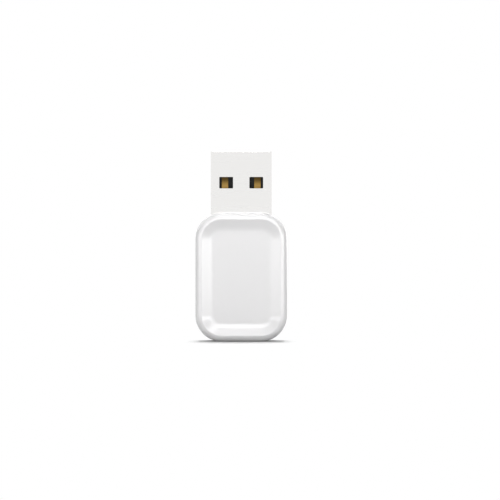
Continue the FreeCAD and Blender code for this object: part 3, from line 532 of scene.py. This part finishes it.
pressed, tree, shader = finish_of("pressed_ferrite", FERRITE_GREY)
noise = roughen(tree, shader, fine_scale=9000.0, roughness=0.48, roughness_spread=0.08, fine_height=0.2)
speckle(tree, shader, noise, FERRITE_GREY, 0.35)
dress(pressed, "power_inductor", "ferrite_bead", "tuning_inductor")
can_steel, tree, shader = finish_of("crystal_can", (0.66, 0.65, 0.62), metallic=1.0)
roughen(tree, shader, stretch=(1.0, 12.0, 1.0), roughness=0.28, roughness_spread=0.08)
dress(can_steel, "radio_crystal")

CAP_PROUD = 0.008 * MM
SOLDER_REACH = 0.16 * MM
SOLDER_CLIMB = 0.6
SOLDER_LIP = 0.03
SOLDER_STEPS = 6
SOLDER_HOLLOW = 2.2
TERMINAL_SHARE = 0.24
CHIP_SOLDER = (0.18 * MM, 0.26 * MM, 0.16 * MM)  # reach, width and climb of each slope
LEAD_SOLDER = (0.14 * MM, 0.42 * MM, 0.12 * MM)
LEAD_PITCH = 0.95 * MM
TAIL_SOLDER_REACH = 0.3 * MM
TAIL_SOLDER_CLIMB = 0.2 * MM
LEG_SHEET = 0.3 * MM
LEG_WIDTH = 1.2 * MM
LEG_UP = 1.1 * MM
LEG_SOLDER_REACH = 0.4 * MM
LEG_SOLDER_CLIMB = 0.35 * MM
BACK_PARTS = ("capacitor_5", "capacitor_6", "capacitor_11", "capacitor_12")


def aim(out, away):
    """The turn that puts a piece's x along the way out and its z away from the board."""
    return Matrix((out, away.cross(out), away)).transposed().to_euler()


def terminals_of(name):
    """Both terminals of a small part: its foot's middle, its turn and its size."""
    low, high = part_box(name)
    behind = name in BACK_PARTS
    away = Vector((0, 1 if behind else -1, 0))
    foot = BACK_FACE if behind else FRONT_FACE
    rise = high.y - BACK_FACE if behind else FRONT_FACE - low.y
    x, z = middle(name)
    spans = (high.x - low.x, high.z - low.z)
    long_way = Vector((1, 0, 0)) if spans[0] > spans[1] else Vector((0, 0, 1))
    length, width = max(spans), min(spans)
    for sign in (-1, 1):
        out = sign * long_way
        end = Vector((x, foot, z)) + out * length / 2
        yield end, aim(out, away), length * TERMINAL_SHARE, width, rise


def block_tree(name, hollow):
    """A block at each point, or with a hollow slope for solder; x runs out and z away."""
    tree, given, result = new_tree(name)
    add_input(tree, "Float", "Lip", SOLDER_LIP)
    make = tree.nodes.new
    cube = make("GeometryNodeMeshCube")
    cube.inputs["Vertices X"].default_value = SOLDER_STEPS if hollow else 2
    shape = make("GeometryNodeSetPosition")
    place = make("GeometryNodeInputPosition")
    axes = make("ShaderNodeSeparateXYZ")
    scatter = make("GeometryNodeInstanceOnPoints")
    turn = make("GeometryNodeInputNamedAttribute")
    turn.data_type = "FLOAT_VECTOR"
    turn.inputs["Name"].default_value = "turn"
    size = make("GeometryNodeInputNamedAttribute")
    size.data_type = "FLOAT_VECTOR"
    size.inputs["Name"].default_value = "size"
    out = make("ShaderNodeMath")
    out.operation = "ADD"
    out.inputs[1].default_value = 0.5
    up = make("ShaderNodeMath")
    up.operation = "ADD"
    up.inputs[1].default_value = 0.5
    moved = make("ShaderNodeCombineXYZ")
    wire(
        tree,
        (cube.outputs["Mesh"], shape.inputs["Geometry"]),
        (place.outputs["Position"], axes.inputs[0]),
        (axes.outputs["X"], out.inputs[0]),
        (axes.outputs["Z"], up.inputs[0]),
        (out.outputs[0], moved.inputs["X"]),
        (axes.outputs["Y"], moved.inputs["Y"]),
        (moved.outputs["Vector"], shape.inputs["Position"]),
        (given.outputs["Geometry"], scatter.inputs["Points"]),
        (shape.outputs["Geometry"], scatter.inputs["Instance"]),
        (turn.outputs["Attribute"], scatter.inputs["Rotation"]),
        (size.outputs["Attribute"], scatter.inputs["Scale"]),
    )
    if hollow:
        left = make("ShaderNodeMath")
        left.operation = "SUBTRACT"
        left.inputs[0].default_value = 1.0
        curve = make("ShaderNodeMath")
        curve.operation = "POWER"
        curve.inputs[1].default_value = SOLDER_HOLLOW
        slope = make("ShaderNodeMapRange")
        slope.inputs["To Max"].default_value = 1.0
        high = make("ShaderNodeMath")
        high.operation = "MULTIPLY"
        wire(
            tree,
            (out.outputs[0], left.inputs[1]),
            (left.outputs[0], curve.inputs[0]),
            (curve.outputs[0], slope.inputs["Value"]),
            (given.outputs["Lip"], slope.inputs["To Min"]),
            (up.outputs[0], high.inputs[0]),
            (slope.outputs["Result"], high.inputs[1]),
            (high.outputs[0], moved.inputs["Z"]),
        )
    else:
        wire(tree, (up.outputs[0], moved.inputs["Z"]))
    close_tree(tree, given, result, scatter.outputs["Instances"])
    return tree


two_ended = [f"capacitor_{n}" for n in range(1, 15)] + [f"resistor_{n}" for n in range(1, 5)]
two_ended += ["tuning_capacitor", "tuning_inductor", "ferrite_bead", "power_inductor", "chip_antenna"]
caps = []
slopes = []
for name in two_ended:
    for end, turn, share, width, rise in terminals_of(name):
        back = Vector((-share, 0, 0))
        back.rotate(turn)
        caps.append(
            {
                "at": end + back,
                "turn": turn,
                "size": (share + CAP_PROUD, width + 2 * CAP_PROUD, rise + CAP_PROUD),
            }
        )
        slopes.append({"at": end, "turn": turn, "size": (SOLDER_REACH, width, SOLDER_CLIMB * rise)})
front_way = Vector((0, -1, 0))
for x, z in ((radio_x, radio_z), (bridge_x, bridge_z)):
    for place, way in chip_edge_points(x, z):
        place.y = FRONT_FACE
        slopes.append({"at": place, "turn": aim(way, front_way), "size": CHIP_SOLDER})
for name, upper in (("voltage_regulator", (-1, 1)), ("surge_protector", (-1, 0, 1))):
    low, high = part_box(name)
    x = (low.x + high.x) / 2
    for z, sign, steps in ((low.z, -1, (-1, 0, 1)), (high.z, 1, upper)):
        turn = aim(Vector((0, 0, sign)), front_way)
        for step in steps:
            place = Vector((x + step * LEAD_PITCH, FRONT_FACE, z))
            slopes.append({"at": place, "turn": turn, "size": LEAD_SOLDER})
for name in ("power_contact", "ground_contact", "data_minus_contact", "data_plus_contact"):
    low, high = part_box(name)
    place = Vector(((low.x + high.x) / 2, FRONT_FACE, low.z))
    turn = aim(Vector((0, 0, -1)), front_way)
    size = (TAIL_SOLDER_REACH, high.x - low.x, TAIL_SOLDER_CLIMB)
    slopes.append({"at": place, "turn": turn, "size": size})
low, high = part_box("plug_shell")
for side in (-1, 1):
    leg = Vector((side * (high.x - LEG_SHEET / 2), BACK_FACE, low.z + LEG_UP))
    for out, half, width in (
        (Vector((1, 0, 0)), LEG_SHEET / 2, LEG_WIDTH),
        (Vector((-1, 0, 0)), LEG_SHEET / 2, LEG_WIDTH),
        (Vector((0, 0, 1)), LEG_WIDTH / 2, LEG_SHEET),
        (Vector((0, 0, -1)), LEG_WIDTH / 2, LEG_SHEET),
    ):
        turn = aim(out, -front_way)
        size = (LEG_SOLDER_REACH, width, LEG_SOLDER_CLIMB)
        slopes.append({"at": leg + half * out, "turn": turn, "size": size})
tin, tree, shader = finish_of("tin_plate", (0.72, 0.71, 0.69), metallic=1.0)
roughen(tree, shader, slow_scale=3000.0, roughness=0.38, roughness_spread=0.08, slow_height=0.1)
terminals = grown(caps, block_tree("terminal_caps", False), {"Material": tin}, "terminals")
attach(terminals, "root")
solder, tree, shader = finish_of("set_solder", (0.66, 0.66, 0.65), metallic=1.0)
roughen(tree, shader, slow_scale=2500.0, roughness=0.34, roughness_spread=0.1, slow_height=0.2)
fillets = grown(slopes, block_tree("solder_slopes", True), {"Material": solder}, "solder_fillets")
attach(fillets, "root")

# Plug insulator
# One black moulding of glass-filled nylon: a block that fills the foot of the shell, and a tongue
# with a groove for each contact. The glass leaves it matt with a faint sparkle.
NYLON = (0.005, 0.0048, 0.0045)
nylon, tree, shader = finish_of("glass_filled_nylon", NYLON, ior=1.4)
noise = roughen(tree, shader, fine_scale=7000.0, roughness=0.42, roughness_spread=0.06, fine_height=0.2)
speckle(tree, shader, noise, NYLON, 0.6)
dress(nylon, "plug_insulator")

# Contacts
# Four strips stamped from bronze, with a sloping nose, plated with gold over nickel. Their colour
# is painted darker towards the plug's mouth: a painted shade where the shell's window edge shades them.
WINDOW_MIDDLE = 31.1 * MM
WINDOW_HALF = 0.9 * MM
GOLD = (0.64, 0.4, 0.12)
# Painted shade: the dark gold tone that the contacts turn to towards the plug's mouth.
GOLD_IN_PAINTED_SHADE = (0.14, 0.087, 0.027)
gold, tree, shader = finish_of("gold_plate", GOLD, metallic=1.0)
roughen(
    tree,
    shader,
    fine_scale=3000.0,
    stretch=(4.0, 1.0, 0.4),
    roughness=0.45,
    roughness_spread=0.04,
    fine_height=0.02,
)
# Painted shade: the gold darkens above the middle of the window, towards the plug's mouth.
place = tree.nodes.new("ShaderNodeTexCoord")
height = tree.nodes.new("ShaderNodeSeparateXYZ")
painted_mouth_shade = tree.nodes.new("ShaderNodeMapRange")
painted_mouth_shade.interpolation_type = "SMOOTHSTEP"
painted_mouth_shade.inputs["From Min"].default_value = WINDOW_MIDDLE - WINDOW_HALF
painted_mouth_shade.inputs["From Max"].default_value = WINDOW_MIDDLE + WINDOW_HALF
wire(
    tree,
    (place.outputs["Object"], height.inputs[0]),
    (height.outputs["Z"], painted_mouth_shade.inputs["Value"]),
)
blend_tones(tree, painted_mouth_shade.outputs["Result"], shader.inputs["Base Color"], GOLD, GOLD_IN_PAINTED_SHADE)
dress(gold, "power_contact", "ground_contact", "data_minus_contact", "data_plus_contact")

# Plug shell
# One sheet of steel folded into a box, its seam locked by a dovetail at the back, then plated with
# nickel. The plate is satin, with the faint grain of the rolled sheet across the plug.
nickel, tree, shader = finish_of("nickel_plate", (0.88, 0.872, 0.86), metallic=1.0)
roughen(
    tree,
    shader,
    fine_scale=2500.0,
    stretch=(0.15, 1.0, 3.0),
    roughness=0.27,
    roughness_spread=0.02,
    fine_height=0.0025,
)
dress(nickel, "plug_shell")

# Housing
# Two halves moulded in white plastic, with a shallow dish in each face, joined by a lip and snap
# beads at the parting line. The mould's fine polish leaves a satin skin.
WHITE = (0.80, 0.795, 0.80)
white, tree, shader = finish_of("white_moulding", WHITE, ior=1.52)
roughen(tree, shader, roughness=0.2, roughness_spread=0.02, fine_height=0.03)
dress(white, "front_housing", "rear_housing")

# Table
# A white table under a white sky: the background is plain white, and the table keeps the stick's
# own soft shadow close round its foot, in a zone shifted a little to the front, where the light behind
# throws it. A painted shadow darkens the table's seen colour right under the stick, and a painted
# shade darkens its colour for bounced light near the foot, which shades the stick's underside.
FLOOR_HALF = 3.0
SHADOW_START = 9.5 * MM
SHADOW_END = 13.8 * MM
SHADOW_NARROWING = 2.2
SHADOW_FORWARD = 3.6 * MM
# Painted shade: the table's colour for bounced light is darker near the foot, so less light reaches the
# stick's underside, and lighter farther out.
PAINTED_SHADE_BOUNCE_NEAR = 0.3
BOUNCE_FAR = 0.52
BOUNCE_END = 16.0 * MM
# Painted shadow: the tone the camera sees on the table darkens from the far tone to the near tone close
# round the foot.
PAINTED_SHADOW_NEAR = 0.5
SEEN_FAR = 0.88
SEEN_START = 3.0 * MM
SEEN_END = 9.0 * MM
corners = [(x * FLOOR_HALF, y * FLOOR_HALF, 0.0) for x, y in ((-1, -1), (1, -1), (1, 1), (-1, 1))]
mesh = bpy.data.meshes.new("table")
mesh.from_pydata(corners, [], [(0, 1, 2, 3)])
table = bpy.data.objects.new("table", mesh)
bpy.context.collection.objects.link(table)
paper, tree, shader = finish_of("white_table", (0.9, 0.9, 0.9))
roughen(tree, shader, roughness=0.9, roughness_spread=0.05, fine_height=0.0)
make = tree.nodes.new
place = make("ShaderNodeTexCoord")
shape = make("ShaderNodeVectorMath")
shape.operation = "MULTIPLY_ADD"
shape.inputs[1].default_value = (1.0, SHADOW_NARROWING, 1.0)
shape.inputs[2].default_value = (0.0, SHADOW_NARROWING * SHADOW_FORWARD, 0.0)
away = make("ShaderNodeVectorMath")
away.operation = "LENGTH"
fade = make("ShaderNodeMapRange")
fade.interpolation_type = "SMOOTHSTEP"
fade.inputs["From Min"].default_value = SHADOW_START
fade.inputs["From Max"].default_value = SHADOW_END


def seen_by_eye(tree):
    """One where a ray comes from the camera, a mirror or through glass, or else zero."""
    path = tree.nodes.new("ShaderNodeLightPath")
    mirrored = tree.nodes.new("ShaderNodeMath")
    mirrored.operation = "MAXIMUM"
    through = tree.nodes.new("ShaderNodeMath")
    through.operation = "MAXIMUM"
    wire(
        tree,
        (path.outputs["Is Camera Ray"], mirrored.inputs[0]),
        (path.outputs["Is Glossy Ray"], mirrored.inputs[1]),
        (mirrored.outputs[0], through.inputs[0]),
        (path.outputs["Is Transmission Ray"], through.inputs[1]),
    )
    return through.outputs[0]


seen = seen_by_eye(tree)
share = make("ShaderNodeMath")
share.operation = "MULTIPLY"
tone = make("ShaderNodeMix")
tone.data_type = "RGBA"
bounce_tone, seen_tone, blended = colours_of(tone)
# Painted shadow: the table's seen colour is darker towards the stick's foot.
painted_contact_shadow = make("ShaderNodeMapRange")
painted_contact_shadow.inputs["From Min"].default_value = SEEN_START
painted_contact_shadow.inputs["From Max"].default_value = SEEN_END
painted_contact_shadow.inputs["To Min"].default_value = PAINTED_SHADOW_NEAR
painted_contact_shadow.inputs["To Max"].default_value = SEEN_FAR
# Painted shade: the bounce colour rises from the near tone at the foot to the far tone farther out.
bounce = make("ShaderNodeMapRange")
bounce.inputs["From Min"].default_value = SHADOW_START
bounce.inputs["From Max"].default_value = BOUNCE_END
bounce.inputs["To Min"].default_value = PAINTED_SHADE_BOUNCE_NEAR
bounce.inputs["To Max"].default_value = BOUNCE_FAR
plain = make("ShaderNodeEmission")
blend = make("ShaderNodeMixShader")
wire(
    tree,
    (place.outputs["Object"], shape.inputs[0]),
    (shape.outputs["Vector"], away.inputs[0]),
    (away.outputs["Value"], fade.inputs["Value"]),
    (away.outputs["Value"], bounce.inputs["Value"]),
    (bounce.outputs["Result"], bounce_tone),
    (away.outputs["Value"], painted_contact_shadow.inputs["Value"]),
    (painted_contact_shadow.outputs["Result"], seen_tone),
    (seen, share.inputs[0]),
    (fade.outputs["Result"], share.inputs[1]),
    (seen, tone.inputs["Factor"]),
    (blended, shader.inputs["Base Color"]),
    (share.outputs[0], blend.inputs["Fac"]),
    (shader.outputs["BSDF"], blend.inputs[1]),
    (plain.outputs["Emission"], blend.inputs[2]),
    (blend.outputs["Shader"], tree.nodes["Material Output"].inputs["Surface"]),
)
mesh.materials.append(paper)

# Sky
# White paper all round, as in a light tent: plain white to the camera and in mirrors, and only a
# faint even light on everything else, so that the lamps shape the stick.
SKY_LIGHT = 0.2
world = bpy.data.worlds.new("studio")
bpy.context.scene.world = world
world.use_nodes = True
tree = world.node_tree
tree.nodes.clear()
back = tree.nodes.new("ShaderNodeBackground")
back.inputs["Color"].default_value = (1.0, 1.0, 1.0, 1.0)
level = tree.nodes.new("ShaderNodeMapRange")
level.inputs["To Min"].default_value = SKY_LIGHT
level.inputs["To Max"].default_value = 1.0
out = tree.nodes.new("ShaderNodeOutputWorld")
wire(
    tree,
    (seen_by_eye(tree), level.inputs["Value"]),
    (level.outputs["Result"], back.inputs["Strength"]),
    (back.outputs[0], out.inputs["Surface"]),
)

# Lamps
# Soft boxes set round the stick as for a small product shot: broad ones that light it, and strips
# that only its sloping sides mirror. The strips light the housing alone, and the table doesn't cut
# them off, as they are linked to the housing for both.
REACH = 0.4
AIM = Vector((0, 0, 20.0 * MM))
strip_lit = bpy.data.collections.new("lit_by_strips")
for name in ("front_housing", "rear_housing"):
    strip_lit.objects.link(nodes[name])


def soft_box(name, azimuth, elevation, width, height, power, lights="all"):
    """A flat lamp at an angle from straight in front, aimed at the stick."""
    data = bpy.data.lights.new(name, "AREA")
    data.shape = "RECTANGLE"
    data.size = width
    data.size_y = height
    data.energy = power
    lamp = bpy.data.objects.new(name, data)
    bpy.context.collection.objects.link(lamp)
    turn, rise = math.radians(azimuth), math.radians(elevation)
    way = Vector((math.sin(turn) * math.cos(rise), -math.cos(turn) * math.cos(rise), math.sin(rise)))
    lamp.location = AIM + REACH * way
    lamp.rotation_euler = (-way).to_track_quat("-Z", "Y").to_euler()
    lamp.visible_glossy = lights != "no gloss"
    lamp.visible_diffuse = lights != "gloss only"
    return lamp


def strip(name, azimuth, elevation, width, height, power):
    """A lamp that shows only as a highlight on the housing."""
    lamp = soft_box(name, azimuth, elevation, width, height, power, "gloss only")
    lamp.light_linking.receiver_collection = strip_lit
    lamp.light_linking.blocker_collection = strip_lit


soft_box("front_low_fill", 0, 8, 0.15, 0.15, 0.55, "no gloss")
soft_box("left_high_fill", -10, 40, 0.15, 0.15, 0.22, "no gloss")
soft_box("front_top_box", 0, 65, 0.15, 0.15, 0.48)
soft_box("back_top_box", 180, 70, 0.15, 0.15, 1.12)
soft_box("back_low_fill", 180, 8, 0.15, 0.15, 0.6, "no gloss")
strip("front_strip", 0, 21, 0.11, 0.23, 0.52)
strip("right_strip", 41, 0, 0.35, 0.12, 0.9)
strip("left_strip", -41, 0, 0.35, 0.12, 0.62)
strip("front_high_strip", 0, 46, 0.3, 0.12, 0.14)
strip("right_corner_strip", 25, 26, 0.18, 0.2, 0.6)
strip("left_corner_strip", -21, 21, 0.14, 0.14, 0.22)
strip("back_strip", 180, 21, 0.11, 0.23, 0.25)
strip("back_right_strip", 139, 0, 0.35, 0.12, 0.3)
strip("back_left_strip", -139, 0, 0.35, 0.12, 0.1)

# Camera
# Straight in front of the stick, a hair above it, with a long lens, so that hardly any of its top
# or sides shows. The shifts put its middle where the photo has it.
PHOTO_SIZE = 500
PIXELS_PER_MM = 5.063
CENTRE_X = 241.22
CENTRE_Y = 245.95
DISTANCE = 0.6
ELEVATION = math.radians(1.9)
low, high = (Vector(corner) for corner in cad_box)
centre = (low + high) / 2
camera_data = bpy.data.cameras.new("camera")
camera_data.sensor_width = 36.0
camera_data.lens = PIXELS_PER_MM / MM * DISTANCE * camera_data.sensor_width / PHOTO_SIZE
camera_data.shift_x = 0.5 - CENTRE_X / PHOTO_SIZE
camera_data.shift_y = CENTRE_Y / PHOTO_SIZE - 0.5
camera_data.clip_start = 0.01
camera = bpy.data.objects.new("camera", camera_data)
bpy.context.collection.objects.link(camera)
camera.location = centre + DISTANCE * Vector((0, -math.cos(ELEVATION), math.sin(ELEVATION)))
camera.rotation_euler = (math.pi / 2 - ELEVATION, 0, 0)
bpy.context.scene.camera = camera
bpy.context.scene.view_settings.view_transform = "Standard"
